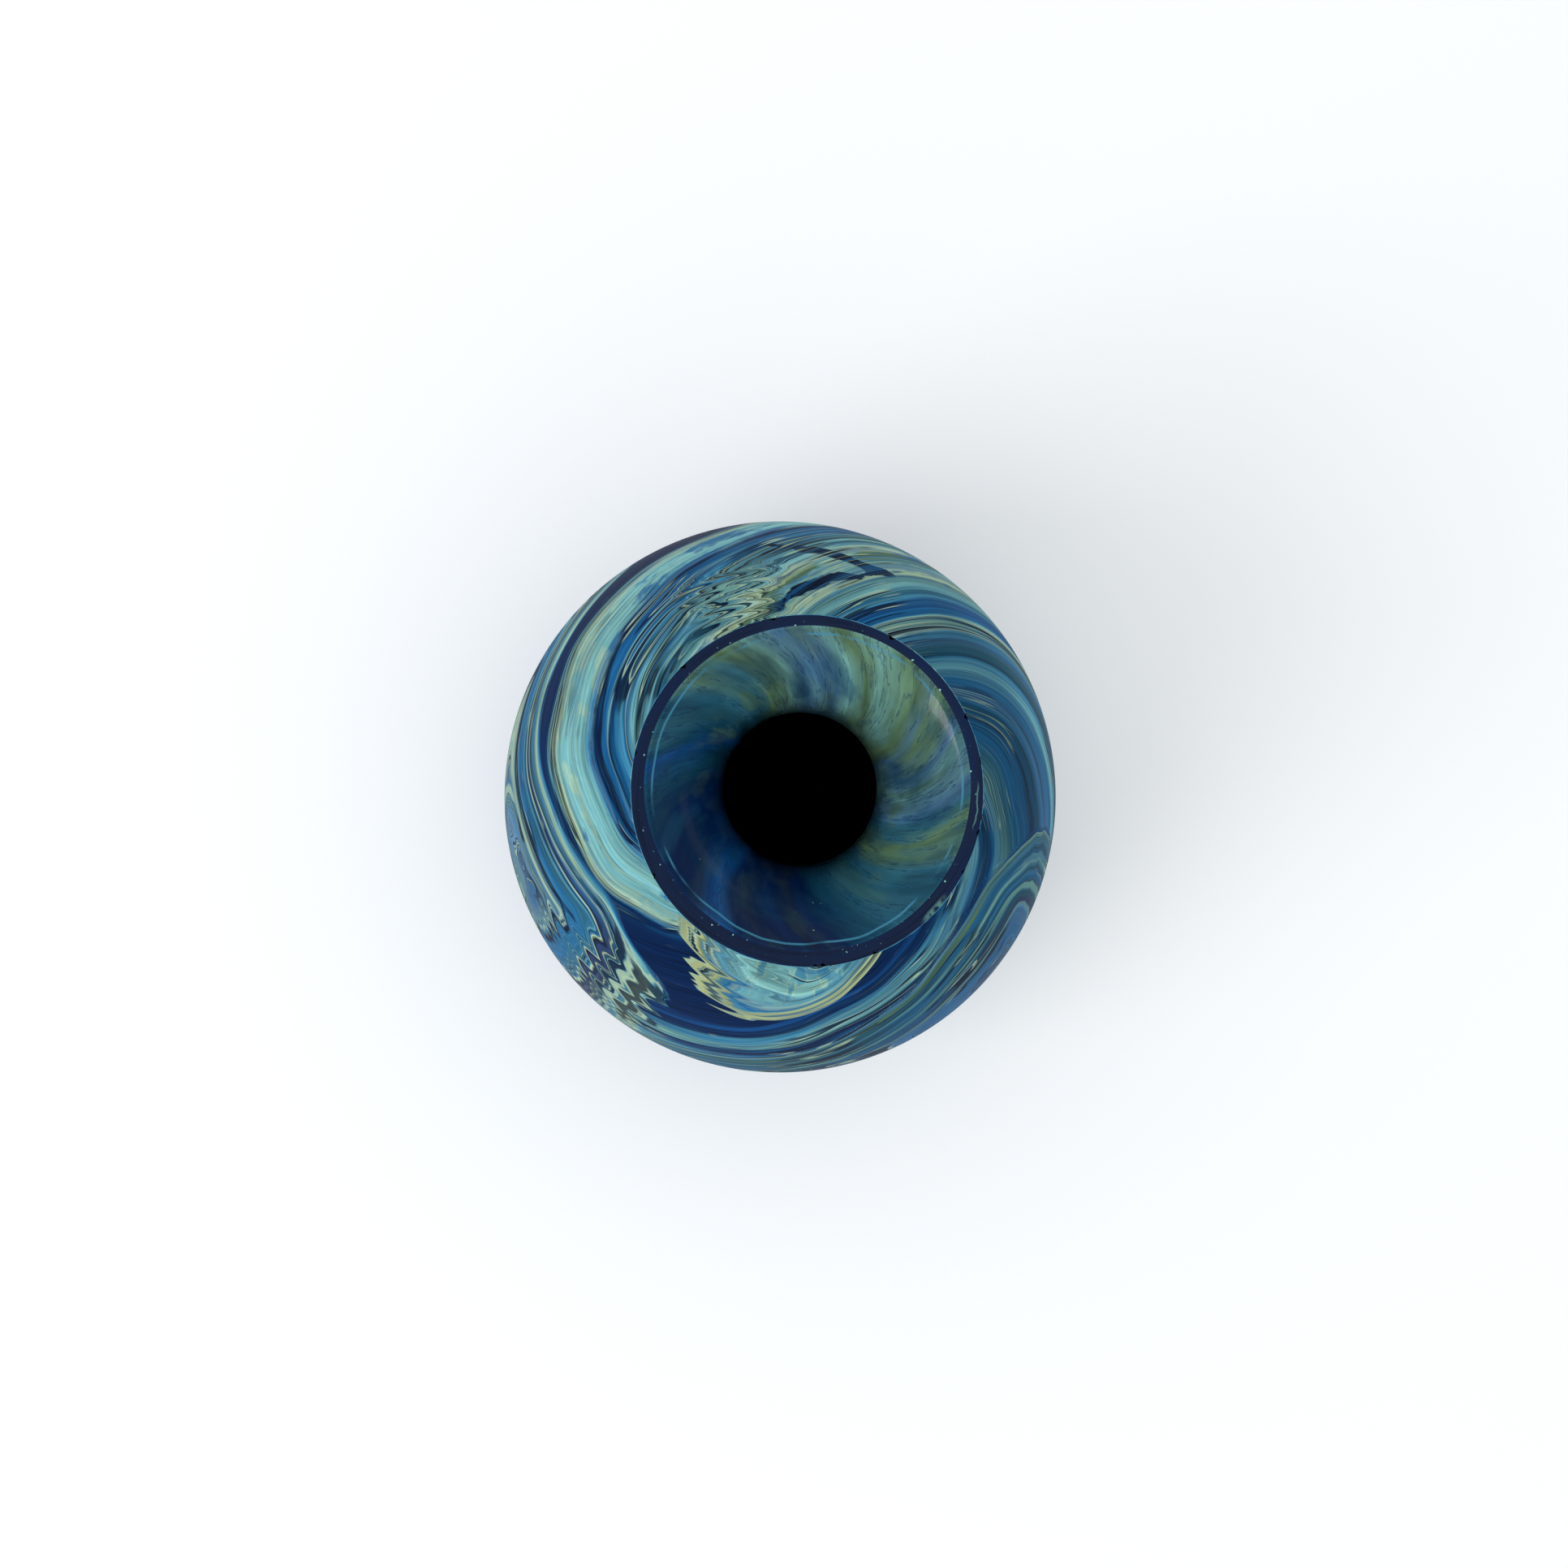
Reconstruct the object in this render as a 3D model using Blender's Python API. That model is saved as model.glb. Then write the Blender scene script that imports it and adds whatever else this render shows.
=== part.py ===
"""Marbled art glass vase: a round belly, a narrow throat and a flared mouth with a ground rim.

The vessel is built as a glassblower builds it, from five masses of glass on one vertical axis:
a dark core bubble, a thin marbled casing over it, a thin glossy lining inside it, an applied foot
ring, and the ground seal where the pontil rod was. Fused faces are kept SEAM apart.

Frame: metres, +Z up, origin on the table under the vase's axis. Run it with
blender --background --python part.py
"""

import math

import bmesh
import bpy

MM = 0.001

# Driving dimensions of the outside.
BELLY_RADIUS = 65 * MM
BELLY_HEIGHT = 62 * MM  # the widest ring, above the table
BODY_BASE = 4 * MM  # the underside of the body, above the table
BODY_BASE_RADIUS = 36 * MM
VASE_HEIGHT = 165 * MM
LIP_RADIUS = 36.5 * MM
THROAT_RADIUS = 19.4 * MM  # outside of the narrowest part of the neck
FLARE_ANGLE = math.radians(60)  # how far the mouth leans out from upright at the lip

# Glass thicknesses, square to the wall, as (belly, lip). A plain number holds all the way up.
CASING_WALL = (0.7 * MM, 0.2 * MM)
CORE_WALL = (3.0 * MM, 1.0 * MM)
LINING_WALL = (0.6 * MM, 0.2 * MM)
SEAM = 0.3 * MM  # stands for a fused face between two pieces
FLOOR_THICKNESS = 7 * MM

# The foot.
FOOT_OUTER_RADIUS = 34 * MM
FOOT_INNER_RADIUS = 24 * MM
FOOT_EDGE = 1 * MM  # bevel that the ring's edges are ground to
RECESS_RADIUS = 22 * MM
RECESS_DEPTH = 3.5 * MM
SEAL_RADIUS = 8 * MM
SEAL_THICKNESS = 1.6 * MM
SEAL_EDGE = 0.4 * MM

# Mesh fineness.
TURNS = 48  # facets round the axis
STEPS = {"lower belly": 7, "shoulder": 6, "neck": 4, "flare": 6, "recess": 4}

# Where the arcs of the outside meet. The flare and the neck are both upright at the throat.
FLARE_ARC = (LIP_RADIUS - THROAT_RADIUS) / (1 - math.cos(FLARE_ANGLE))
THROAT_HEIGHT = VASE_HEIGHT - FLARE_ARC * math.sin(FLARE_ANGLE)
THROAT_RISE = THROAT_HEIGHT - BELLY_HEIGHT
# The neck's arc touches the belly's circle: their centres are the sum of their radii apart.
NECK_ARC = (THROAT_RISE**2 + THROAT_RADIUS**2 - BELLY_RADIUS**2) / (
    2 * (BELLY_RADIUS - THROAT_RADIUS)
)
SHOULDER_TURN = math.atan2(THROAT_RISE, THROAT_RADIUS + NECK_ARC)
# The lower belly is half an ellipse that reaches BODY_BASE_RADIUS at BODY_BASE.
LOWER_DROP = math.sin(math.acos(BODY_BASE_RADIUS / BELLY_RADIUS))
LOWER_DEPTH = (BELLY_HEIGHT - BODY_BASE) / LOWER_DROP

MATERIALS = {
    # name: (colour, roughness)
    "core_glass": ((0.012, 0.016, 0.050), 0.35),
    "marbled_casing": ((0.110, 0.290, 0.330), 0.45),
    "marbled_lining": ((0.050, 0.130, 0.125), 0.12),
    "foot_glass": ((0.014, 0.022, 0.070), 0.30),
    "ground_glass": ((0.070, 0.095, 0.130), 0.60),
}


def clear_scene():
    for thing in list(bpy.data.objects):
        bpy.data.objects.remove(thing)


def material(name):
    colour, roughness = MATERIALS[name]
    made = bpy.data.materials.new(name)
    made.use_nodes = True
    shader = made.node_tree.nodes["Principled BSDF"]
    shader.inputs["Base Color"].default_value = (*colour, 1)
    shader.inputs["Roughness"].default_value = roughness
    shader.inputs["Metallic"].default_value = 0
    return made


def ellipse(centre, radii, start, end, steps):
    """Points (r, z) along an ellipse from one angle to another, both ends included."""
    turns = [start + (end - start) * i / steps for i in range(steps + 1)]
    return [(centre[0] + radii[0] * math.cos(t), centre[1] + radii[1] * math.sin(t)) for t in turns]


def arc(centre, radius, start, end, steps):
    return ellipse(centre, (radius, radius), start, end, steps)


def outside():
    """The vase's outer outline as (r, z), from the underside's edge up to the lip."""
    belly_centre = (0, BELLY_HEIGHT)
    lower_start = -math.asin(LOWER_DROP)
    lower = ellipse(belly_centre, (BELLY_RADIUS, LOWER_DEPTH), lower_start, 0, STEPS["lower belly"])
    shoulder = arc(belly_centre, BELLY_RADIUS, 0, SHOULDER_TURN, STEPS["shoulder"])
    neck_centre = (THROAT_RADIUS + NECK_ARC, THROAT_HEIGHT)
    neck = arc(neck_centre, NECK_ARC, math.pi + SHOULDER_TURN, math.pi, STEPS["neck"])
    flare_centre = (THROAT_RADIUS + FLARE_ARC, THROAT_HEIGHT)
    flare = arc(flare_centre, FLARE_ARC, math.pi, math.pi - FLARE_ANGLE, STEPS["flare"])
    return lower + shoulder[1:] + neck[1:] + flare[1:]


def inward(outline, depth_at):
    """The outline moved into the vase by depth_at(share of the way from belly to lip)."""
    moved = []
    last = len(outline) - 1
    for i, (r, z) in enumerate(outline):
        before = outline[max(i - 1, 0)]
        after = outline[min(i + 1, last)]
        along = (after[0] - before[0], after[1] - before[1])
        length = math.hypot(*along)
        share = min(max((z - BELLY_HEIGHT) / (VASE_HEIGHT - BELLY_HEIGHT), 0), 1)
        depth = depth_at(share)
        moved.append((r - along[1] / length * depth, z + along[0] / length * depth))
    return moved


def between(outline, low, high):
    """The part of a rising outline from height low to height high, ending exactly there."""

    def at_height(a, b, height):
        share = (height - a[1]) / (b[1] - a[1])
        return (a[0] + (b[0] - a[0]) * share, height)

    inside = [i for i, (_, z) in enumerate(outline) if low < z < high]
    first = max(inside[0], 1)
    last = min(inside[-1], len(outline) - 2)
    return (
        [at_height(outline[first - 1], outline[first], low)]
        + outline[first : last + 1]
        + [at_height(outline[last], outline[last + 1], high)]
    )


def depth_of(*layers):
    """A function of the share of the way up that adds these walls."""

    def depth(share):
        pairs = [wall if isinstance(wall, tuple) else (wall, wall) for wall in layers]
        return sum(belly + (lip - belly) * share for belly, lip in pairs)

    return depth


def surface(*layers, base=BODY_BASE):
    """The outline under these layers, from height base up to the ground rim."""
    return between(inward(outside(), depth_of(*layers)), base, VASE_HEIGHT)


def recess():
    """The shallow dome in the underside, from its edge to the axis."""
    sphere = (RECESS_RADIUS**2 + RECESS_DEPTH**2) / (2 * RECESS_DEPTH)
    edge = math.acos(RECESS_RADIUS / sphere)
    centre = (0, BODY_BASE + RECESS_DEPTH - sphere)
    dome = arc(centre, sphere, edge, math.pi / 2, STEPS["recess"])
    return dome[:-1] + [(0, BODY_BASE + RECESS_DEPTH)]


def bevelled(low, high, edge):
    """A rectangle between corners (r, z), with its two lower corners cut off."""
    (r0, z0), (r1, z1) = low, high
    return [(r0 + edge, z0), (r1 - edge, z0), (r1, z0 + edge), (r1, z1), (r0, z1), (r0, z0 + edge)]


def turned(name, outline, closed, material_name):
    """A solid of revolution. An open outline starts and ends on the axis."""
    shape = bmesh.new()
    points = [shape.verts.new((r, 0, z)) for r, z in outline]
    ends = zip(points, points[1:] + points[:1] if closed else points[1:])
    for a, b in ends:
        shape.edges.new((a, b))
    full_turn = {"axis": (0, 0, 1), "cent": (0, 0, 0), "steps": TURNS, "angle": math.tau}
    bmesh.ops.spin(shape, geom=shape.verts[:] + shape.edges[:], use_merge=True, **full_turn)
    bmesh.ops.remove_doubles(shape, verts=shape.verts[:], dist=0.001 * MM)
    bmesh.ops.recalc_face_normals(shape, faces=shape.faces[:])
    mesh = bpy.data.meshes.new(name)
    shape.to_mesh(mesh)
    shape.free()
    mesh.shade_smooth()
    mesh.set_sharp_from_angle(angle=math.radians(35))
    mesh.materials.append(material(material_name))
    made = bpy.data.objects.new(name, mesh)
    bpy.context.scene.collection.objects.link(made)
    return made


def outer_casing():
    """Marbled glass over the whole outside, from the underside's edge to the rim."""
    shown = surface()
    fused = surface(CASING_WALL)
    return turned("outer_casing", shown + fused[::-1], True, "marbled_casing")


def core_wall():
    """The dark bubble that carries the load. Its ground edge is the rim's dark ring."""
    floor = BODY_BASE + FLOOR_THICKNESS
    shown = surface(CASING_WALL, SEAM)
    fused = surface(CASING_WALL, SEAM, CORE_WALL, base=floor)
    bottom = recess()[::-1]
    return turned("core_wall", bottom + shown + fused[::-1] + [(0, floor)], False, "core_glass")


def inner_lining():
    """Glossy marbled glass over the whole inside, closed at the bottom."""
    floor = BODY_BASE + FLOOR_THICKNESS + SEAM
    fused = surface(CASING_WALL, SEAM, CORE_WALL, SEAM, base=floor)
    top = floor + LINING_WALL[0]
    shown = surface(CASING_WALL, SEAM, CORE_WALL, SEAM, LINING_WALL, base=top)
    outline = [(0, floor)] + fused + shown[::-1] + [(0, top)]
    return turned("inner_lining", outline, False, "marbled_lining")


def foot_ring():
    """The applied ring the vase stands on, ground flat underneath."""
    outline = bevelled((FOOT_INNER_RADIUS, 0), (FOOT_OUTER_RADIUS, BODY_BASE - SEAM), FOOT_EDGE)
    return turned("foot_ring", outline, True, "foot_glass")


def pontil_seal():
    """The ground scar of the pontil rod, sunk in the recess so that it never touches the table."""
    under_dome = RECESS_DEPTH * (1 - (SEAL_RADIUS / RECESS_RADIUS) ** 2)
    top = BODY_BASE + under_dome - SEAM
    bottom = top - SEAL_THICKNESS
    outline = [
        (0, bottom),
        (SEAL_RADIUS - SEAL_EDGE, bottom),
        (SEAL_RADIUS, bottom + SEAL_EDGE),
        (SEAL_RADIUS, top),
        (0, top),
    ]
    return turned("pontil_seal", outline, False, "ground_glass")


def build():
    clear_scene()
    for make in (outer_casing, core_wall, inner_lining, foot_ring, pontil_seal):
        make()


build()
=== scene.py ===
"""Looks for a marbled art glass vase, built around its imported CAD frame.

Every piece is turned on the vase's axis, finer than its CAD node, and takes its main sizes from it.
The marbling is painted in shader nodes. Two coordinates carry it: the angle round the vase, in
degrees counterclockwise from +X, and the climb, in millimetres up the skin from the widest ring.
"""

import math

import bpy
import numpy as np
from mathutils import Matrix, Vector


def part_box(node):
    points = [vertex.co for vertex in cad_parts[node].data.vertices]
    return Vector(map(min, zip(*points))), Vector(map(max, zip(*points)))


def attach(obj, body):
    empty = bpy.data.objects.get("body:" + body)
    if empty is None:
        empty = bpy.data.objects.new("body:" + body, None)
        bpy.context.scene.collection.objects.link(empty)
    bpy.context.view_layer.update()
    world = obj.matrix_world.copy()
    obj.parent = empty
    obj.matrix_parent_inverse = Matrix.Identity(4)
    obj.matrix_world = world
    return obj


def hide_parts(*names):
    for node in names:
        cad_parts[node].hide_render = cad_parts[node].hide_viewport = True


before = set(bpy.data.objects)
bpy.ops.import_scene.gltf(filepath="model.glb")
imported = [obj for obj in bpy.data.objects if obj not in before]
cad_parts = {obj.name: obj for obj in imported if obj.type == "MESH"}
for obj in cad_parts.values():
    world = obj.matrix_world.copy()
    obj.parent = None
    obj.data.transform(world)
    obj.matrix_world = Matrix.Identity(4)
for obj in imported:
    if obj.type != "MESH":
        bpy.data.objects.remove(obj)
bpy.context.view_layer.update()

MM = 0.001
TURNS = 288  # facets round the axis
ROW = 1.1 * MM  # height of one row of facets on the outside
# Rows of facets on the other faces.
CASING_BACK_ROWS = 40
CORE_ROWS = 60
LINING_ROWS = 150
FLOOR_ROWS = 16
DOME_ROWS = 20


def srgb(red, green, blue):
    """A linear colour from sRGB values of 0 to 255."""

    def linear(value):
        share = value / 255
        return share / 12.92 if share <= 0.04045 else ((share + 0.055) / 1.055) ** 2.4

    return (linear(red), linear(green), linear(blue), 1)


BLACK = srgb(1, 4, 14)
INK = srgb(8, 20, 44)
PLUM = srgb(22, 34, 60)
NAVY = srgb(5, 34, 76)
COBALT = srgb(15, 72, 130)
BLUE = srgb(25, 98, 148)
SKY = srgb(65, 135, 165)
AQUA = srgb(110, 172, 178)
PALE_AQUA = srgb(135, 190, 185)
TEAL = srgb(45, 98, 116)
DEEP_TEAL = srgb(18, 64, 86)
SAGE = srgb(98, 145, 138)
OLIVE = srgb(82, 112, 80)
CREAM = srgb(170, 195, 160)
GOLD = srgb(172, 172, 105)
SLATE = srgb(62, 102, 135)
PURPLE = srgb(45, 62, 102)
LAVENDER = srgb(95, 130, 155)

# Shapes, read from the frame.


def corners(node):
    """Each (radius, height) of a turned CAD node, with how far its skin faces outwards there."""
    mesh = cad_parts[node].data
    place = np.array([v.co for v in mesh.vertices])
    facing = np.array([v.normal for v in mesh.vertices])
    radius = np.hypot(place[:, 0], place[:, 1])
    outward = (facing[:, 0] * place[:, 0] + facing[:, 1] * place[:, 1]) / np.maximum(radius, MM)
    return radius, place[:, 2], outward


class Outline:
    """The casing's outer outline, from the underside's edge to the lip, rebuilt from its arcs."""

    def __init__(self):
        radius, height, outward = corners("outer_casing")
        skin = outward > 0.2
        radius, height = radius[skin], height[skin]
        widest = radius.argmax()
        self.belly_radius, self.belly_height = radius[widest], height[widest]
        above = height > self.belly_height + self.belly_radius / 2
        throat = np.where(above, radius, np.inf).argmin()
        self.throat_radius, self.throat_height = radius[throat], height[throat]
        low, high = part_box("outer_casing")
        self.base_height, self.lip_height = low.z, high.z
        self.base_radius = radius[height.argmin()]
        self.lip_radius = radius[height.argmax()]
        self.points = self.arcs()
        steps = np.hypot(*np.diff(self.points, axis=0).T)
        self.length = np.concatenate([[0], np.cumsum(steps)])
        widest = np.abs(self.points[:, 1] - self.belly_height).argmin()
        self.widest_length = self.length[widest]
        along = np.gradient(self.points, self.length, axis=0)
        self.outward = np.stack([along[:, 1], -along[:, 0]], axis=1)

    def arcs(self):
        belly, throat = self.belly_radius, self.throat_radius
        flare_out = self.lip_radius - throat
        flare_up = self.lip_height - self.throat_height
        flare = (flare_up**2 + flare_out**2) / (2 * flare_out)
        rise = self.throat_height - self.belly_height
        neck = (rise**2 + throat**2 - belly**2) / (2 * (belly - throat))
        shoulder = math.atan2(rise, throat + neck)
        drop = math.sin(math.acos(self.base_radius / belly))
        depth = (self.belly_height - self.base_height) / drop

        def arc(r, z, across, up, start, end):
            turn = np.linspace(start, end, 400)
            return np.stack([r + across * np.cos(turn), z + up * np.sin(turn)], axis=1)

        lower = arc(0, self.belly_height, belly, depth, -math.asin(drop), 0)
        upper = arc(0, self.belly_height, belly, belly, 0, shoulder)
        waist = arc(throat + neck, self.throat_height, neck, neck, math.pi + shoulder, math.pi)
        lean = math.asin(flare_up / flare)
        mouth = arc(throat + flare, self.throat_height, flare, flare, math.pi, math.pi - lean)
        return np.concatenate([lower, upper[1:], waist[1:], mouth[1:]])

    def at(self, length, depth):
        """(radius, height) at a length up the outline and a depth into the wall."""
        place = [np.interp(length, self.length, self.points[:, i]) for i in (0, 1)]
        out = [np.interp(length, self.length, self.outward[:, i]) for i in (0, 1)]
        size = np.hypot(*out)
        return place[0] - out[0] / size * depth, place[1] - out[1] / size * depth

    def share(self, length):
        """0 up to the widest ring, then rising to 1 at the lip."""
        top = self.length[-1] - self.widest_length
        return np.clip((length - self.widest_length) / top, 0, 1)


OUTLINE = Outline()
ANGLES = np.arange(TURNS) * math.tau / TURNS
CORE_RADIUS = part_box("core_wall")[1].x
LINING_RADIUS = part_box("inner_lining")[1].x
LINING_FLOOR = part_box("inner_lining")[0].z

# Depths into the wall, square to it, at the belly. The neighbours' fused faces meet here.
CASING_DEPTH = OUTLINE.belly_radius - CORE_RADIUS
CORE_DEPTH = OUTLINE.belly_radius - LINING_RADIUS
LINING_WALL = 0.6 * MM
LINING_DEPTH = CORE_DEPTH + LINING_WALL
# The same at the ground rim, where the core's cut ring is uneven.
CASING_LIP = 0.16 * MM
LINING_LIP = 0.20 * MM
RING_MEAN = 1.32 * MM
RING_UNEVEN = 0.34 * MM
RING_THICKEST = math.radians(258)
RIM_EDGE = 0.12 * MM  # how far the ground rim's corners are taken off
DEEPEST_NICK = 0.35 * MM


def ring_depth():
    """The core's thickness at the rim, round the vase."""
    wave = np.cos(ANGLES - RING_THICKEST) + 0.25 * np.cos(3 * ANGLES + 1.0)
    return RING_MEAN + RING_UNEVEN * wave


def worn_edge(seed):
    """How far down a rim corner is worn, round the vase, with a few small nicks."""
    chance = np.random.default_rng(seed).random(TURNS)
    return RIM_EDGE * (0.7 + 0.6 * chance) + DEEPEST_NICK * np.maximum(chance - 0.93, 0) / 0.07


def depth_of(layer, length):
    """How deep a layer's inner face lies, square to the outline, at a length for each angle."""
    if layer == "outside":
        return 0 * length
    lips = {
        "casing": CASING_LIP,
        "core": CASING_LIP + ring_depth(),
        "lining": CASING_LIP + ring_depth() + LINING_LIP,
    }
    belly = {"casing": CASING_DEPTH, "core": CORE_DEPTH, "lining": LINING_DEPTH}[layer]
    return belly + (lips[layer] - belly) * OUTLINE.share(length) ** 1.6


def length_at(layer, height, low, high):
    """How far up the outline a layer's face reaches a height, for each angle."""
    low = np.full(TURNS, low)
    high = np.full(TURNS, high)
    for _ in range(40):
        middle = (low + high) / 2
        below = OUTLINE.at(middle, depth_of(layer, middle))[1] < height
        low = np.where(below, middle, low)
        high = np.where(below, high, middle)
    return low


def skin(layer, count, bottom=None, top=None):
    """Rows of a layer's face, upwards: radius, height and climb, each for every angle."""
    top = OUTLINE.lip_height if top is None else top
    end = length_at(layer, top, OUTLINE.widest_length, OUTLINE.length[-1])
    start = np.zeros(TURNS)
    if bottom is not None:
        start = length_at(layer, bottom, 0.0, OUTLINE.widest_length)
    lengths = start + (end - start) * np.linspace(0, 1, count)[:, None]
    radius, height = OUTLINE.at(lengths, depth_of(layer, lengths))
    return radius, height, (lengths - OUTLINE.widest_length) / MM


def placed(radius, height):
    """Points round the axis, with the slight lean and unroundness of a hand-made neck."""
    rise = OUTLINE.throat_height - OUTLINE.belly_height
    lift = np.clip((height - OUTLINE.belly_height) / rise, 0, 1.3)
    sway = np.sin((lift / 1.3) ** 2 * math.pi)
    round_off = 1 + 0.0016 * np.cos(2 * ANGLES + 0.7) * lift
    x = radius * round_off * np.cos(ANGLES) + 0.3 * MM * sway
    y = radius * round_off * np.sin(ANGLES) + 0.7 * MM * sway
    return np.stack([x, y, height], axis=-1)


def reversed_rows(run):
    return [part[::-1] for part in run]


def one_row(radius, height, climb):
    """A single row, given for every angle."""
    return [np.broadcast_to(value, (1, TURNS)) for value in (radius, height, climb)]


def disc(edge, height):
    """Rows across a flat round floor, from near its middle out to near its edge."""
    radius = np.linspace(0.05, 0.96, FLOOR_ROWS)[:, None] * edge
    return radius, height + 0 * radius, 0 * radius


def rows(*runs):
    """Joins runs of (radius, height, climb) into one outline, each value given for every angle.

    Only the casing's paint reads the climb, so rows of other pieces that lie off the skin give 0.
    """

    def full(values):
        values = np.atleast_1d(np.asarray(values, float))
        return values[:, None] + np.zeros(TURNS) if values.ndim == 1 else values

    return [np.concatenate([full(run[i]) for run in runs]) for i in range(3)]


def turned(name, outline, closed, material):
    """A closed body of revolution. An open outline is capped by a point on the axis at each end."""
    radius, height, climb = outline
    points = placed(radius, height)
    count = len(points)
    vertices = points.reshape(-1, 3)
    levels = climb.reshape(-1)
    turn = np.arange(TURNS)
    after = (turn + 1) % TURNS
    faces = []
    for row in range(count if closed else count - 1):
        here, there = row * TURNS, (row + 1) % count * TURNS
        faces += np.stack([here + turn, here + after, there + after, there + turn], axis=1).tolist()
    if not closed:
        tips = np.array([[0, 0, height[0].mean()], [0, 0, height[-1].mean()]])
        first = len(vertices)
        vertices = np.concatenate([vertices, tips])
        levels = np.concatenate([levels, climb[[0, -1], 0]])
        last_row = (count - 1) * TURNS
        faces += [[first, b, a] for a, b in zip(turn.tolist(), after.tolist())]
        faces += [[first + 1, last_row + a, last_row + b] for a, b in zip(turn.tolist(), after.tolist())]
    mesh = bpy.data.meshes.new(name)
    mesh.from_pydata(vertices.tolist(), [], faces)
    mesh.attributes.new("climb", "FLOAT", "POINT").data.foreach_set("value", levels.astype(np.float32))
    mesh.shade_smooth()
    mesh.set_sharp_from_angle(angle=math.radians(40))
    mesh.materials.append(material)
    made = bpy.data.objects.new(name, mesh)
    bpy.context.scene.collection.objects.link(made)
    return made


def stands_for(piece, node):
    """Puts a piece in its CAD node's place."""
    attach(piece, "root")
    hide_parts(node)


# Shader nodes, written as short formulas.


class Number:
    """A value in a node tree. Arithmetic on Numbers adds Math nodes."""

    def __init__(self, tree, socket):
        self.tree = tree
        self.socket = socket

    def math(self, operation, *others):
        node = self.tree.nodes.new("ShaderNodeMath")
        node.operation = operation
        for socket, value in zip(node.inputs, (self, *others)):
            feed(self.tree, socket, value)
        return Number(self.tree, node.outputs[0])

    def __add__(self, other):
        return self.math("ADD", other)

    def __mul__(self, other):
        return self.math("MULTIPLY", other)

    def __sub__(self, other):
        return self.math("SUBTRACT", other)

    def __truediv__(self, other):
        return self.math("DIVIDE", other)

    def __neg__(self):
        return self * -1

    def __rsub__(self, other):
        return -self + other

    __radd__ = __add__

    def smaller(self, other, rounding=0.0):
        return self.math("SMOOTH_MIN", other, rounding)

    def larger(self, other, rounding=0.0):
        return self.math("SMOOTH_MAX", other, rounding)

    def fade(self, start, end):
        """0 at start, 1 at end, and smooth between. End may be the lower one."""
        node = self.tree.nodes.new("ShaderNodeMapRange")
        node.interpolation_type = "SMOOTHSTEP"
        feed(self.tree, node.inputs["Value"], self)
        flip = start > end
        node.inputs["From Min"].default_value = min(start, end)
        node.inputs["From Max"].default_value = max(start, end)
        node.inputs["To Min"].default_value = 1.0 if flip else 0.0
        node.inputs["To Max"].default_value = 0.0 if flip else 1.0
        return Number(self.tree, node.outputs["Result"])

    def from_centre(self, centre):
        """This angle in degrees from a centre, between -180 and 180."""
        return (self - (centre - 180)).math("FLOORED_MODULO", 360) - 180

    def away_from(self, centre):
        """How many degrees this angle is from a centre, either way."""
        return self.from_centre(centre).math("ABSOLUTE")

    def near(self, centre, gone, whole):
        """1 within whole of a centre, fading to 0 at gone."""
        return (self - centre).math("ABSOLUTE").fade(gone, whole)

    def curve(self, points):
        """This value put through a smooth curve of (from, to) points."""
        (low, high), (least, most) = [(min(v), max(v)) for v in zip(*points)]
        node = self.tree.nodes.new("ShaderNodeFloatCurve")
        feed(self.tree, node.inputs["Value"], (self - low) / (high - low))
        line = node.mapping.curves[0]
        spots = [((a - low) / (high - low), (b - least) / (most - least)) for a, b in points]
        line.points[0].location = spots[0]
        line.points[-1].location = spots[-1]
        for spot in spots[1:-1]:
            line.points.new(*spot)
        node.mapping.update()
        return Number(self.tree, node.outputs[0]) * (most - least) + least


def feed(tree, socket, value):
    if isinstance(value, Number):
        tree.links.new(value.socket, socket)
    elif value is not None:
        socket.default_value = value


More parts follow.
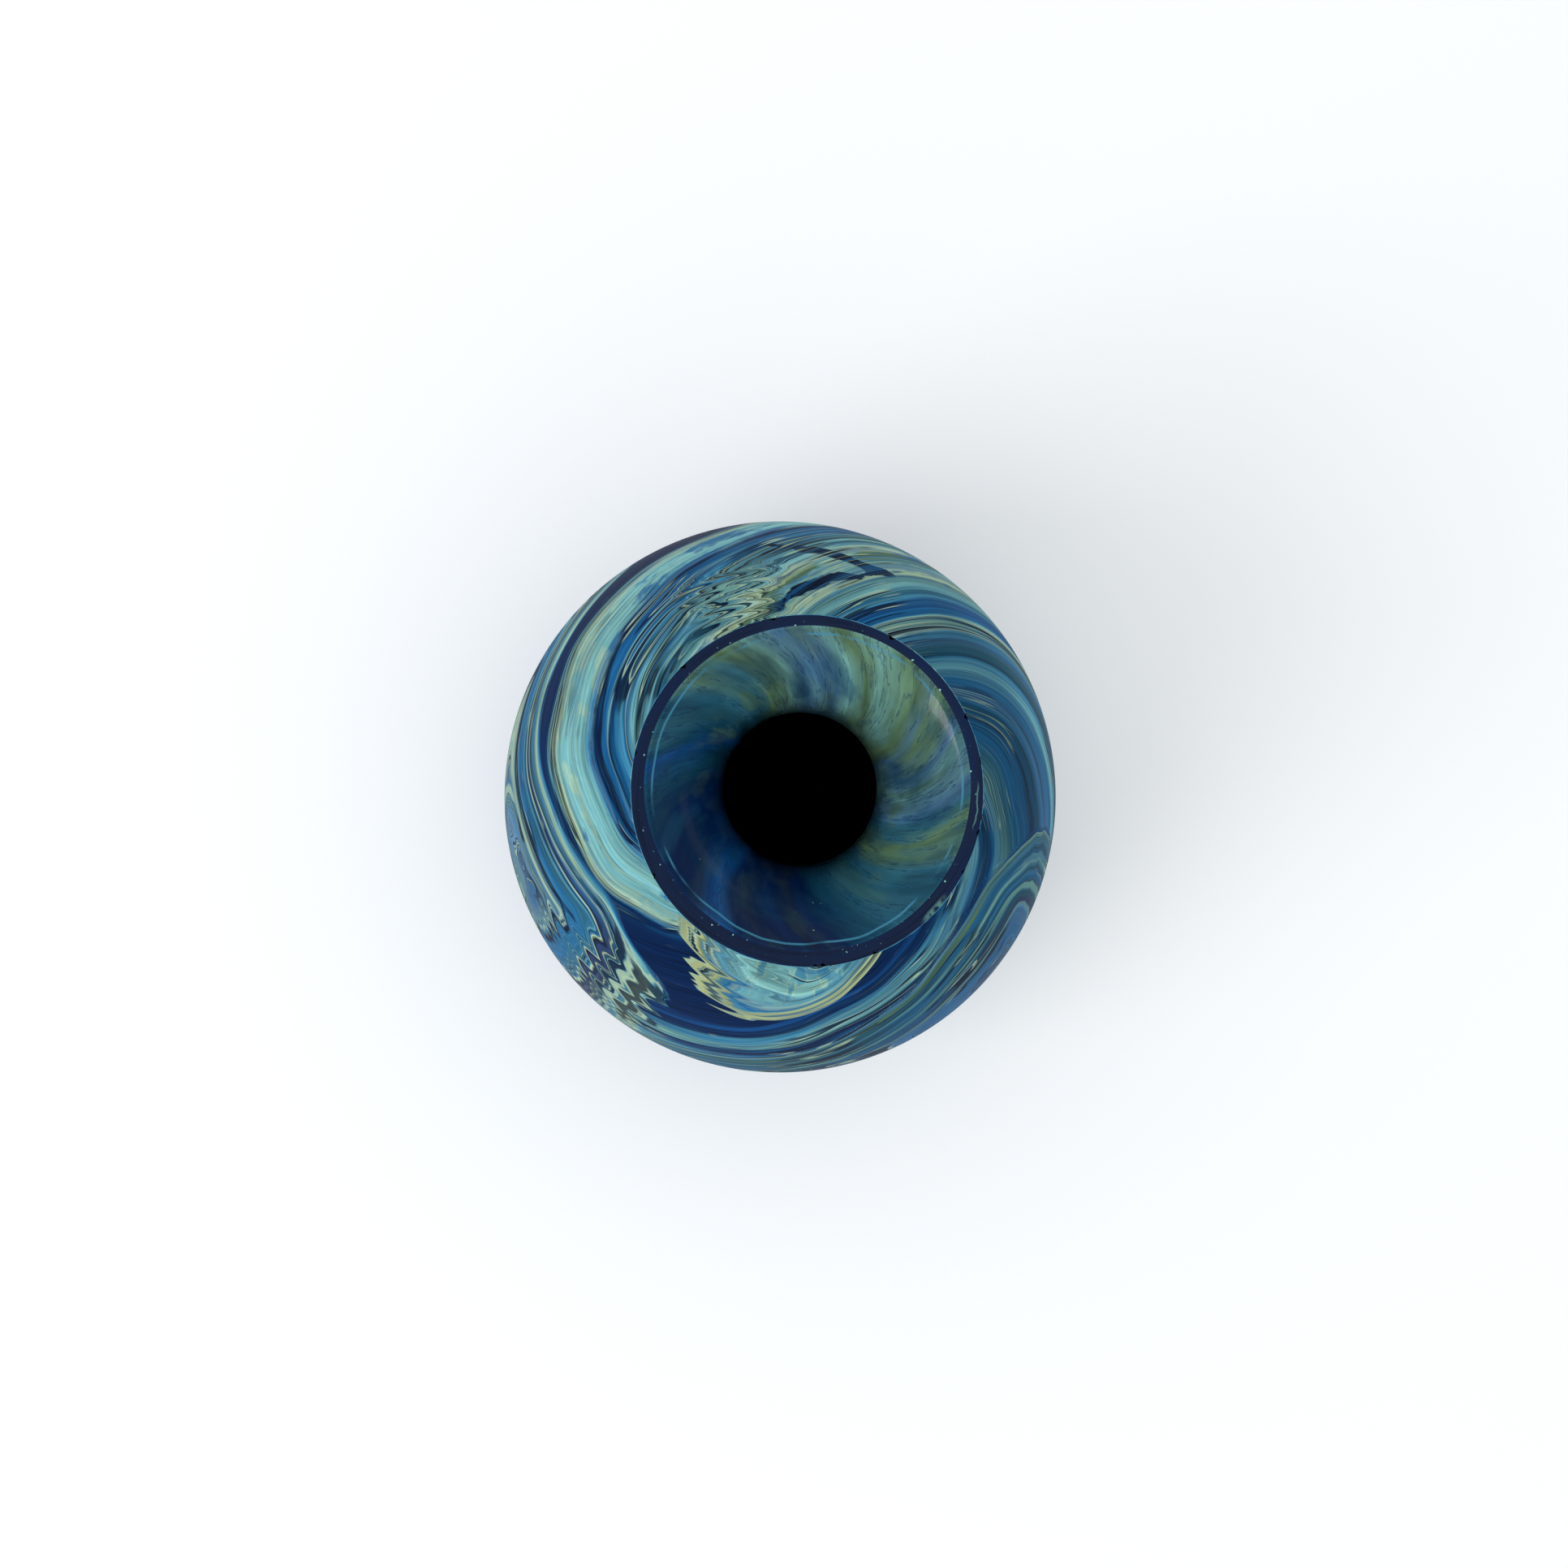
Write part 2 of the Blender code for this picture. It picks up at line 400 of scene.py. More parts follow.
class Paint:
    """One material and the helpers that write its nodes."""

    def __init__(self, name):
        self.material = bpy.data.materials.new(name)
        self.material.use_nodes = True
        self.tree = self.material.node_tree
        self.shader = self.tree.nodes["Principled BSDF"]
        place = self.tree.nodes.new("ShaderNodeNewGeometry")
        split = self.tree.nodes.new("ShaderNodeSeparateXYZ")
        self.tree.links.new(place.outputs["Position"], split.inputs[0])
        self.x, self.y, self.z = [Number(self.tree, s) for s in split.outputs]
        reach = (self.x * self.x + self.y * self.y).math("SQRT")
        self.radius = reach / MM
        self.cos, self.sin = self.x / reach, self.y / reach
        turn = self.y.math("ARCTAN2", self.x) * (180 / math.pi)
        self.angle = turn.math("FLOORED_MODULO", 360)

    def read_climb(self):
        """The climb that turned() keeps on the mesh."""
        node = self.tree.nodes.new("ShaderNodeAttribute")
        node.attribute_name = "climb"
        return Number(self.tree, node.outputs["Fac"])

    def noise(self, x, y=0.0, z=0.0, detail=2.0, roughness=0.5):
        """Noise from 0 to 1, with a mean of 0.5."""
        join = self.tree.nodes.new("ShaderNodeCombineXYZ")
        for socket, value in zip(join.inputs, (x, y, z)):
            feed(self.tree, socket, value)
        node = self.tree.nodes.new("ShaderNodeTexNoise")
        node.inputs["Scale"].default_value = 1
        node.inputs["Detail"].default_value = detail
        node.inputs["Roughness"].default_value = roughness
        self.tree.links.new(join.outputs[0], node.inputs["Vector"])
        return Number(self.tree, node.outputs[0])

    def streaks(self, across, fineness, turns=1.0, detail=3.0):
        """Noise drawn out round the vase: fine across the bands and slow along them."""
        return self.noise(across * fineness, self.cos * turns, self.sin * turns, detail, 0.6)

    def bands(self, value, stops):
        """Colours along a value, from (place, colour) stops in order."""
        most = 30  # a colour ramp holds 32
        joined = None
        for first in range(0, len(stops) - 1, most):
            some = stops[first : first + most + 1]
            low, high = some[0][0], some[-1][0]
            node = self.tree.nodes.new("ShaderNodeValToRGB")
            feed(self.tree, node.inputs[0], (value - low) / (high - low))
            marks = node.color_ramp.elements
            marks[0].position, marks[0].color = 0, some[0][1]
            marks[1].position, marks[1].color = 1, some[-1][1]
            for place, colour in some[1:-1]:
                mark = marks.new((place - low) / (high - low))
                mark.color = colour
            made = Number(self.tree, node.outputs[0])
            joined = made if joined is None else self.mix(joined, made, value.math("GREATER_THAN", low))
        return joined

    def mix(self, below, above, share, blend="MIX"):
        node = self.tree.nodes.new("ShaderNodeMix")
        node.data_type = "RGBA"
        node.blend_type = blend
        feed(self.tree, node.inputs[0], share)
        feed(self.tree, node.inputs[6], below)
        feed(self.tree, node.inputs[7], above)
        return Number(self.tree, node.outputs[2])

    def scaled(self, colour, factor):
        """A colour made lighter or darker, keeping its hue."""
        node = self.tree.nodes.new("ShaderNodeVectorMath")
        node.operation = "SCALE"
        feed(self.tree, node.inputs[0], colour)
        feed(self.tree, node.inputs["Scale"], factor)
        return Number(self.tree, node.outputs[0])

    def finish(self, colour, roughness, coat=0.0, specular=0.5, bump=None, bump_height=0.0):
        inputs = self.shader.inputs
        feed(self.tree, inputs["Base Color"], colour)
        feed(self.tree, inputs["Roughness"], roughness)
        feed(self.tree, inputs["Coat Weight"], coat)
        feed(self.tree, inputs["Specular IOR Level"], specular)
        inputs["Coat Roughness"].default_value = 0.08
        if bump is not None:
            node = self.tree.nodes.new("ShaderNodeBump")
            node.inputs["Distance"].default_value = bump_height
            feed(self.tree, node.inputs["Height"], bump)
            self.tree.links.new(node.outputs[0], inputs["Normal"])
        return self.material


# Where the marbling's features sit, in degrees round the vase.
CRUMPLED_ANGLE = 108
# Where painted shade darkens the right of the shoulder.
SHADED_RIGHT_ANGLE = 18
ARCH_ANGLE = 207
WEDGE_ANGLE = 262
WAVE_ANGLE = 335
HOOK_ANGLE = 66
COMBED_ANGLE = 245
# The middles of three helical bands, by their place in casing_bands.
SAGE_FIELD = 68
PALE_FIELD = 147
NAVY_FIELD = 194
BAND_SLOPE = 1.9  # degrees that the helical bands turn for each millimetre of climb
# Marks in the ground rim.
STRAND_ANGLE = 355
BLOT_ANGLE = 317
BRIGHT_SIDE = 55  # the side of the mouth that carries sage and olive

CASING_SPECULAR = 0.03  # nearly none: a satin skin's sheen would veil the dark colours

# Smooth curves that lay out the marbling, as points of (degrees, value).
# How the helical bands open out round the vase, in degrees. Both ends run at the same slope.
OPENING = [
    (0, 0), (12, 10), (26, 34), (60, 110), (105, 190), (150, 222), (250, 285), (330, 340),
    (348, 350), (360, 360),
]
# Along each fold's top, how far its lines lie above or below their level, in millimetres. Down its
# flank, the level at each angle. For the wedge, the climb of its right edge.
ARCH_TOP = [(-180, -70), (-77, -31), (-37, -14), (-7, -1), (18, 4), (40, 1), (180, -40)]
ARCH_FLANK = [
    (-180, 12), (-12, 20), (-2, 31), (4, 35), (11, 39.5), (18, 43), (29, 46.5), (34, 52), (180, 70),
]
WAVE_TOP = [(-180, -70), (-75, -25), (-35, -6.5), (-10, 1), (10, -2.5), (22, -8), (180, -60)]
WAVE_FLANK = [(-180, 10), (-20, 18), (0, 27), (8, 35), (14, 41), (19, 47), (24, 53), (180, 70)]
WEDGE_RIGHT = [(-90, 30), (-20, 39.5), (0, 42), (18, 47.5), (28, 53), (38, 58.5), (180, 140)]


def casing_bands():
    """The helical bands, by their place in degrees at the widest ring."""
    return [
        (0, INK), (1.6, INK), (2.4, CREAM), (4.6, SAGE), (5.2, INK), (6.4, INK), (7, CREAM),
        (9.5, SAGE), (10.2, INK), (11, CREAM), (14, AQUA), (16, BLUE), (24, COBALT), (30, SKY),
        (34, TEAL), (40, AQUA), (46, SAGE), (56, CREAM), (66, SAGE), (78, OLIVE), (86, CREAM),
        (93, AQUA), (98, DEEP_TEAL), (101, AQUA), (105, SAGE), (107, INK), (111, AQUA),
        (113, INK), (114, CREAM), (115.5, INK), (117, SKY), (120, BLUE), (121, INK), (122.5, PURPLE),
        (123.5, AQUA), (126, COBALT), (128, BLUE), (129, INK), (132.5, NAVY), (133.5, LAVENDER),
        (135, BLUE), (138, AQUA), (145, PALE_AQUA), (152, AQUA), (157.5, CREAM), (159, INK), (160, CREAM),
        (161, INK), (162, SAGE), (163, NAVY), (170, NAVY), (214, NAVY), (218, COBALT),
        (220, NAVY), (226, NAVY), (229, SKY), (233, SAGE), (237, AQUA), (240, NAVY),
        (245, NAVY), (248, BLUE), (254, SAGE), (262, TEAL), (270, BLUE), (282, NAVY),
        (290, DEEP_TEAL), (300, SLATE), (312, BLUE), (320, AQUA), (328, SKY), (331, DEEP_TEAL),
        (340, TEAL), (350, SLATE), (356, SKY), (359, CREAM), (360, INK),
    ]


def arch_bands():
    """Nested arches on the far left, from their core outwards."""
    return [
        (4, BLUE), (12, SLATE), (16, PURPLE), (19, SLATE), (23, LAVENDER), (26, SAGE), (28, SLATE),
        (29.4, CREAM), (31.2, SAGE), (31.5, INK), (33.2, INK), (33.6, SKY), (35, BLUE), (37.4, TEAL),
        (38.2, AQUA), (38.6, DEEP_TEAL), (39.2, BLUE), (39.8, CREAM), (40.1, INK), (40.9, PURPLE),
        (41.4, PURPLE), (41.7, CREAM), (42.0, INK), (42.5, TEAL), (43.4, SLATE), (44.2, SAGE),
        (45.4, CREAM), (46.2, AQUA), (46.9, BLUE), (47.4, NAVY),
    ]


def inset_bands():
    """The pale wedge that hangs into the navy, from its edge inwards."""
    return [
        (0, NAVY), (0.3, CREAM), (0.9, GOLD), (1.2, CREAM), (1.5, DEEP_TEAL), (2.0, CREAM),
        (2.5, GOLD), (3.0, SAGE), (3.3, BLUE), (3.9, CREAM), (4.5, AQUA), (7, PALE_AQUA),
        (11, AQUA), (13, SKY), (14, CREAM), (18, PALE_AQUA), (22, TEAL), (27, SKY), (29, INK),
        (31, AQUA), (36, SAGE), (40, BLUE), (46, AQUA), (50, COBALT), (60, SKY),
    ]


def wave_bands():
    """Quiet nested arches on the near right, from their core outwards."""
    return [
        (6, SLATE), (14, PURPLE), (20, SLATE), (25, BLUE), (27, SLATE), (28.5, SAGE), (29.5, PURPLE),
        (32, DEEP_TEAL), (33.5, TEAL), (35, SAGE), (36, DEEP_TEAL), (38, TEAL), (39, DEEP_TEAL),
        (40.5, TEAL), (41.4, SAGE), (42, DEEP_TEAL), (43.5, TEAL), (44.5, OLIVE), (45.4, TEAL),
        (46, SAGE), (46.6, OLIVE), (47, CREAM), (47.3, BLUE), (47.8, NAVY),
    ]


def fold(top, flank, under, core):
    """Nested arches from the levels of their three sides, their corners rounded off beyond core."""
    up, out, down = [(side - core).larger(0) for side in (top, flank, under)]
    inner = (top.larger(flank, 7).larger(under, 16) - core).smaller(0)
    return (up * up + out * out + down * down).math("SQRT") + inner + core


class Marbling(Paint):
    """The casing's paint. Layers are laid over each other, all disturbed by the same dragging."""

    def __init__(self, name):
        super().__init__(name)
        self.climb = self.read_climb()
        # Each height was dragged round by its own amount, which steps whatever runs up the wall.
        combed = self.climb + self.angle.from_centre(COMBED_ANGLE) * 0.15
        rising = self.climb.fade(-22, 26)
        self.drag = (self.noise(self.climb * 0.30, 3.0, detail=5.0, roughness=0.62) - 0.5) * 24
        self.tongues = self.spikes(combed * 0.21, 8.0, 1.5) * rising * self.climb.fade(100, 66)
        self.teeth = self.spikes(combed * 0.17, 2.0, 0.4) * rising
        self.notches = self.spikes(self.climb * 0.21, 5.0, 1.0)
        # Slow displacements of whole bands, from the widest to the smallest.
        self.drift = (self.over_skin(1.4, 0.03, 1.0) - 0.5) * 14
        self.swell = (self.over_skin(2.6, 0.04, 0.0) - 0.5) * 22
        self.eddy = (self.over_skin(4, 0.07, 2.0) - 0.5) * 26

    def spikes(self, value, row, detail):
        """Sharp points up to 0.1, wherever noise along the value crosses its mean."""
        return 0.10 - (self.noise(value, row, detail=detail) - 0.5).math("ABSOLUTE")

    def over_skin(self, turns, rise, detail):
        """Noise over the skin: its fineness round the vase, up the climb, and its detail."""
        return self.noise(self.cos * turns, self.sin * turns, self.climb * rise, detail)

    def frayed(self, value, fineness, turns, detail, amount):
        """A value pushed up and down by streaks that follow it."""
        return value + (self.streaks(value, fineness, turns, detail) - 0.5) * amount

    def start(self, colour, flow, solid):
        """The lowest layer: its colour, the value its streaks follow, and where it has none."""
        self.colour = colour
        self.flow = flow
        self.solid = solid

    def lay(self, colour, flow, share):
        """A layer over the ones before it, where share is 1."""
        self.colour = self.mix(self.colour, colour, share)
        self.flow = self.flow + (flow - self.flow) * share
        self.solid = self.solid * (1 - share)

    def touch(self, colour, share):
        """Colour added without changing how the streaks run."""
        self.colour = self.mix(self.colour, colour, share)


def lay_helical_bands(glass):
    """Bands that climb steeply on the right and gently on the left, crumpled behind the rim."""
    place = glass.angle.from_centre(CRUMPLED_ANGLE)
    crumple = place.fade(-20, -8) * place.fade(17, 6) * glass.climb.fade(38, 46)
    spread = glass.angle + (glass.tongues - glass.notches) * crumple * 66
    opened = spread.math("FLOORED_MODULO", 360).curve(OPENING)
    spiral = opened - glass.climb * BAND_SLOPE + glass.drift + glass.swell * 0.35
    spiral = spiral.math("FLOORED_MODULO", 360)
    feather = (glass.streaks(spiral, 0.16, 0.9, 1.0) - 0.5) * 14
    feather = feather + (glass.streaks(spiral, 0.6, 1.4, 2.0) - 0.5) * 4
    even = spiral.away_from(NAVY_FIELD).fade(34, 24).larger(crumple * 0.8)
    even = even.larger(spiral.away_from(PALE_FIELD).fade(13, 9) * 0.6)
    colour = glass.bands((spiral + feather).smaller(359.9).larger(0.1), casing_bands())
    glass.start(colour, spiral * 0.5, even)
    # Nested dark and pale contours, where the bands are crumpled.
    contour = (spiral * 0.17 + feather * 0.05).math("FRACT")
    glass.touch(INK, contour.near(0.5, 0.16, 0.10) * crumple * 0.9)
    glass.touch(CREAM, contour.near(0.78, 0.10, 0.05) * crumple * 0.8)
    lay_blotches(glass, spiral, 1 - crumple)


def lay_blotches(glass, spiral, share):
    """Blotches of aqua, cream and blue inside the two wide pale bands."""
    blotch = glass.noise(spiral * 0.05, glass.cos * 3.0, glass.sin * 3.0, 4.0, 0.62)
    field = spiral.away_from(SAGE_FIELD).fade(32, 20) + spiral.away_from(PALE_FIELD - 1).fade(16, 8)
    field = field * share
    glass.touch(AQUA, blotch.fade(0.50, 0.60) * field * 0.8)
    glass.touch(CREAM, blotch.fade(0.56, 0.66) * field * 0.6)
    glass.touch(BLUE, blotch.fade(0.45, 0.35) * field * 0.85)


def lay_painted_shade_right(glass):
    """Painted shade: the right of the shoulder, under the lip, is made an even, darker teal."""
    quiet = glass.angle.away_from(SHADED_RIGHT_ANGLE).fade(46, 26) * glass.climb.fade(26, 40)
    glass.touch(DEEP_TEAL, quiet * 0.5)
    glass.solid = glass.solid.larger(quiet * 0.6)


def lay_arch(glass):
    """Nested arches that rise to the left and drop in a jagged flank."""
    place = glass.angle.from_centre(ARCH_ANGLE) + glass.drift * 0.3
    top = glass.climb - place.curve(ARCH_TOP) + glass.swell * 0.12
    flank = (place - glass.teeth * 44 + glass.drag * 0.05 + glass.swell * 0.3).curve(ARCH_FLANK)
    under = 23 - place * 0.27 - glass.climb * 0.6 + glass.swell * 0.2
    level = fold(top, flank, under, 30)
    level = level + level.fade(31, 20) * glass.eddy
    level = glass.frayed(level, 0.4, 1.0, 1.0, 3.0)
    level = glass.frayed(level, 1.6, 2.0, 2.0, 0.8)
    glass.lay(glass.bands(level, arch_bands()), level, level.fade(47.6, 47.0))


def lay_wave(glass):
    """The quiet nested arches on the near right."""
    place = glass.angle.from_centre(WAVE_ANGLE) + glass.drift * 0.3
    top = glass.climb - place.curve(WAVE_TOP) + glass.swell * 0.15
    flank = (place + glass.drag * 0.10 + glass.swell * 0.5 + glass.climb * 0.12).curve(WAVE_FLANK)
    under = 20 - place * 0.27 - glass.climb * 0.6 + glass.swell * 0.3
    level = fold(top, flank, under, 27)
    level = level + level.fade(29, 18) * glass.eddy
    level = glass.frayed(level, 0.4, 1.0, 1.0, 4.4)
    level = glass.frayed(level, 1.6, 1.6, 2.0, 1.0)
    glass.lay(glass.bands(level, wave_bands()), level, level.fade(48.2, 47.4))


def lay_wedge(glass):
    """A pale wedge hanging from the neck into the navy, cream and gold along its jagged side."""
    place = glass.angle.from_centre(WEDGE_ANGLE)
    jagged = place.fade(12, -8)
    right_edge = glass.climb - place.curve(WEDGE_RIGHT)
    dragged = place + (glass.tongues * 85 + glass.drag * 0.12) * jagged
    left_edge = (glass.climb + dragged * 0.85 - 39) * 0.36
    # The two edges' levels meet in a tight corner on the belly and in wide folds on the neck.
    level = right_edge.smaller(left_edge, 5 + glass.climb.fade(55, 85) * 40)
    level = glass.frayed(level, 0.5, 2.0, 2.0, 0.5 + jagged * 1.6)
    inside = glass.bands(level, inset_bands())
    swirl = glass.over_skin(9, 0.10, 3.0)
    inside = glass.mix(inside, SKY, swirl.fade(0.52, 0.62) * level.fade(4, 7) * 0.8)
    ripple = swirl.near(0.53, 0.012, 0.004) * level.fade(4, 6) * level.fade(16, 9)
    inside = glass.mix(inside, CREAM, ripple)
    glass.lay(inside, level, level.fade(0.0, 0.3))


def lay_hook(glass):
    """A dark hooked contour in the sage field."""
    place = glass.angle.from_centre(HOOK_ANGLE)
    upper = place * 0.66 + 38 - glass.climb
    lower = glass.climb + place * 0.14 - 37.5
    waver = glass.noise(glass.climb * 0.22, glass.angle * 0.10, detail=3.0) - 0.5
    line = upper.smaller(lower, 4) + waver * 5
    thickness = 0.6 + glass.noise(glass.climb * 0.14, glass.angle * 0.04, 5.0).fade(0.4, 0.6) * 2.2
    ends = place.fade(-8, 0) * place.fade(38, 26)
    glass.touch(INK, (line.math("ABSOLUTE") / thickness).fade(1.0, 0.7) * ends)


def lay_streaks(glass, fine):
    """Streaks along the flow that shift the colour, and thin dark and pale threads."""
    loose = 1 - glass.solid * 0.97
    tint = glass.streaks(glass.flow + 40, 0.6, 1.2, 4.0)
    glass.touch(BLUE, tint.fade(0.54, 0.40) * loose * 0.6)
    glass.touch(TEAL, tint.fade(0.54, 0.68) * loose * 0.35)
    glass.colour = glass.scaled(glass.colour, 0.87 + (fine - 0.5) * 2.0)
    thread = glass.streaks(glass.flow, 0.36, 0.9, 1.0)
    here = glass.over_skin(2.4, 0.05, 2.0).fade(0.46, 0.60) * loose
    glass.touch(CREAM, thread.near(0.465, 0.014, 0.006) * here * 0.6)
    glass.touch(INK, thread.near(0.51, 0.036, 0.022) * here * 0.85)


def lay_painted_rim_highlight(glass):
    """A painted highlight: a pale line along part of the ground rim's outer edge, at the top of the
    casing.
    """
    below_lip = (OUTLINE.lip_height - glass.z) / MM
    here = glass.noise(glass.angle * 0.06).fade(0.35, 0.55)
    glass.touch(SKY, below_lip.fade(0.22, 0.10) * here * 0.8)


def marbled_casing():
    """Satin marbling: helical bands, with folded lobes laid over them."""
    glass = Marbling("marbled_casing")
    # Painted shade on the right of the shoulder is laid among the marbling's layers.
    for lay in (lay_helical_bands, lay_painted_shade_right, lay_arch, lay_wave, lay_wedge, lay_hook):
        lay(glass)
    fine = glass.streaks(glass.flow, 1.3, 1.6, 5.0)
    lay_streaks(glass, fine)
    # Painted highlight along the rim's outer edge.
    lay_painted_rim_highlight(glass)
    grain = glass.noise(glass.x * 2500, glass.y * 2500, glass.z * 2500, 2.0)
    roughness = 0.52 + (fine - 0.5) * 0.12 + (grain - 0.5) * 0.08
    return glass.finish(
        glass.colour, roughness, specular=CASING_SPECULAR, bump=grain, bump_height=0.02 * MM
    )


def core_glass():
    """Near-black glass, ground flat at the rim, with pale strands caught in the cut and painted glints on
    small chips at its inner edge.
    """
    paint = Paint("core_glass")
    drawn = paint.streaks(paint.radius, 1.3, 2.0, 4.0)
    colour = paint.bands(drawn, [(0.2, INK), (0.5, PLUM), (0.8, NAVY)])
    middle = OUTLINE.lip_radius / MM - 1.4
    wander = (paint.noise(paint.angle * 0.2) - 0.5) * 1.6
    strand = (paint.radius + wander).near(middle, 0.22, 0.08)
    strand = strand * paint.angle.away_from(STRAND_ANGLE).fade(9, 5)
    colour = paint.mix(colour, SAGE, strand * 0.5)
    blot = paint.radius.near(middle + 0.8, 1.1, 0.3) * paint.angle.away_from(BLOT_ANGLE).fade(7, 2)
    blot = blot * paint.noise(paint.x * 500, paint.y * 500, 0.0, 3.0).fade(0.40, 0.55)
    colour = paint.mix(colour, SAGE, blot * 0.6)
    speck = paint.noise(paint.x * 1800, paint.y * 1800, paint.z * 1800, 3.0)
    colour = paint.mix(colour, LAVENDER, speck.fade(0.68, 0.80) * 0.35)
    # Painted glints: pale spots where small chips at the ring's inner edge catch the light.
    chip_glint = paint.noise(paint.x * 900, paint.y * 900, 0.0, 1.0).fade(0.70, 0.74)
    colour = paint.mix(colour, PALE_AQUA, chip_glint * (paint.radius - middle).fade(-0.2, -0.6))
    roughness = 0.45 + (speck - 0.5) * 0.25
    return paint.finish(colour, roughness, specular=0.06, bump=speck, bump_height=0.03 * MM)


def lining_zones():
    """Colours round the mouth: sage and grey-blue at the back and right, deep blue at the left."""
    return [
        (0, SLATE), (14, SAGE), (28, SLATE), (40, OLIVE), (52, SAGE), (66, OLIVE), (78, SAGE),
        (92, SLATE), (104, SAGE), (120, OLIVE), (136, TEAL), (148, DEEP_TEAL), (160, COBALT),
        (176, DEEP_TEAL), (192, NAVY), (215, NAVY), (235, COBALT), (250, NAVY), (264, PLUM),
        (280, NAVY), (296, DEEP_TEAL), (328, TEAL), (342, OLIVE), (352, TEAL), (360, SLATE),
    ]


def smears(paint, lift):
    """The mouth's colours, smeared straight up from the throat and bent round towards the lip."""
    twist = (lift * 0.034).larger(0).math("POWER", 4) * -0.35
    cos = paint.cos - paint.sin * twist
    sin = paint.sin + paint.cos * twist
    swing = (paint.noise(cos * 2.2, sin * 2.2, lift * 0.03, 2.0, 0.5) - 0.5) * 70
    zone = (sin.math("ARCTAN2", cos) * (180 / math.pi) + swing + 14).math("FLOORED_MODULO", 360)
    colour = paint.bands(zone, lining_zones())
    veil = paint.noise(cos * 3.4, sin * 3.4, lift * 0.09, 3.0, 0.5)
    bright = paint.angle.away_from(BRIGHT_SIDE).fade(135, 70)
    colour = paint.mix(colour, DEEP_TEAL, veil.fade(0.50, 0.64) * 0.5)
    colour = paint.mix(colour, OLIVE, veil.fade(0.47, 0.36) * (bright * 0.4 + 0.08))
    smear = paint.noise(cos * 5.5, sin * 5.5, lift * 0.05, 4.0, 0.55)
    strand = paint.noise(cos * 13, sin * 13, lift * 0.05, 4.0, 0.6)
    colour = paint.mix(colour, NAVY, strand.near(0.56, 0.022, 0.008) * 0.5)
    light = 0.92 + (smear - 0.5) * (1.0 + bright * 0.9) + (strand - 0.5) * (0.4 + bright * 0.5)
    return paint.scaled(colour, light)


def painted_lip_highlight(paint):
    """Where a painted highlight runs as a thin line just inside the lip, where the gloss rolls over it,
    along part of it.
    """
    below_lip = (OUTLINE.lip_height - paint.z) / MM
    wander = (paint.noise(paint.cos * 2.0, paint.sin * 2.0, 0.0, 2.0) - 0.5) * 1.6
    here = paint.noise(paint.cos * 2.8, paint.sin * 2.8, 4.0, 2.0).fade(0.42, 0.58)
    return (below_lip - wander).near(0.8, 0.22, 0.06) * here


def marbled_lining():
    """Glossy smears that swirl down the mouth, with painted shade: darker towards the thin throat and
    black below it.
    """
    paint = Paint("marbled_lining")
    lift = (paint.z - OUTLINE.throat_height) / MM
    colour = smears(paint, lift)
    # Pale specks, partly glaze pinholes and partly painted glints.
    speck = paint.noise(paint.x * 1100, paint.y * 1100, paint.z * 1100, 1.0)
    colour = paint.mix(colour, CREAM, speck.fade(0.81, 0.84) * 0.7)
    # Painted highlight: a thin sky-blue line just inside the lip.
    colour = paint.mix(colour, SKY, painted_lip_highlight(paint) * 0.75)
    # Painted shade: darker towards the throat.
    colour = paint.scaled(colour, 1 - lift.fade(16, 1) * 0.55)
    # Painted shade: black below the throat, where no light comes back.
    painted_shade_below_throat = lift.fade(0.6, -0.4)
    colour = paint.mix(colour, BLACK, painted_shade_below_throat)
    seen = 1 - painted_shade_below_throat
    ripple = paint.noise(paint.x * 160, paint.y * 160, paint.z * 160, 2.0)
    roughness = 0.14 + painted_shade_below_throat * 0.6 + (ripple - 0.5) * 0.06
    return paint.finish(
        colour, roughness, coat=seen * 0.30, specular=seen * 0.3, bump=ripple, bump_height=0.10 * MM
    )


def foot_glass():
    """Dark blue glass of the applied ring, with drawn streaks and a ground, paler sole."""
    paint = Paint("foot_glass")
    streak = paint.streaks(paint.z / MM, 1.2, 3.0, 4.0)
    colour = paint.bands(streak, [(0.2, INK), (0.45, NAVY), (0.62, COBALT), (0.8, SKY)])
    sole = (paint.z / MM).fade(0.12, 0.02)
    scratch = paint.noise(paint.x * 1200, paint.y * 4200, 0.0, 3.0)
    colour = paint.mix(colour, LAVENDER, sole * (0.25 + scratch * 0.35))
    return paint.finish(colour, 0.34 + sole * 0.3, bump=scratch, bump_height=0.03 * MM)


def ground_glass():
    """The pontil scar: frosted by the wheel, in fine rings."""
    paint = Paint("ground_glass")
    rings = paint.noise(paint.radius * 6, paint.cos * 0.8, paint.sin * 0.8, 3.0)
    colour = paint.bands(rings, [(0.25, SLATE), (0.5, LAVENDER), (0.75, SKY)])
    return paint.finish(colour, 0.62 + (rings - 0.5) * 0.2, bump=rings, bump_height=0.06 * MM)


# Pieces.


def build_casing():
    lip = OUTLINE.lip_height
    worn = worn_edge(11)
    outer = skin("outside", int(OUTLINE.length[-1] / ROW), top=lip - worn)
    inner = skin("casing", CASING_BACK_ROWS)
    shoulder = one_row(outer[0][-1] - worn * 0.5, lip, outer[2][-1])
    foot_edge = one_row(inner[0][0], OUTLINE.base_height, inner[2][0])
    outline = rows(outer, shoulder, reversed_rows(inner), foot_edge)
    piece = turned("casing_skin", outline, True, marbled_casing())
    stands_for(piece, "outer_casing")


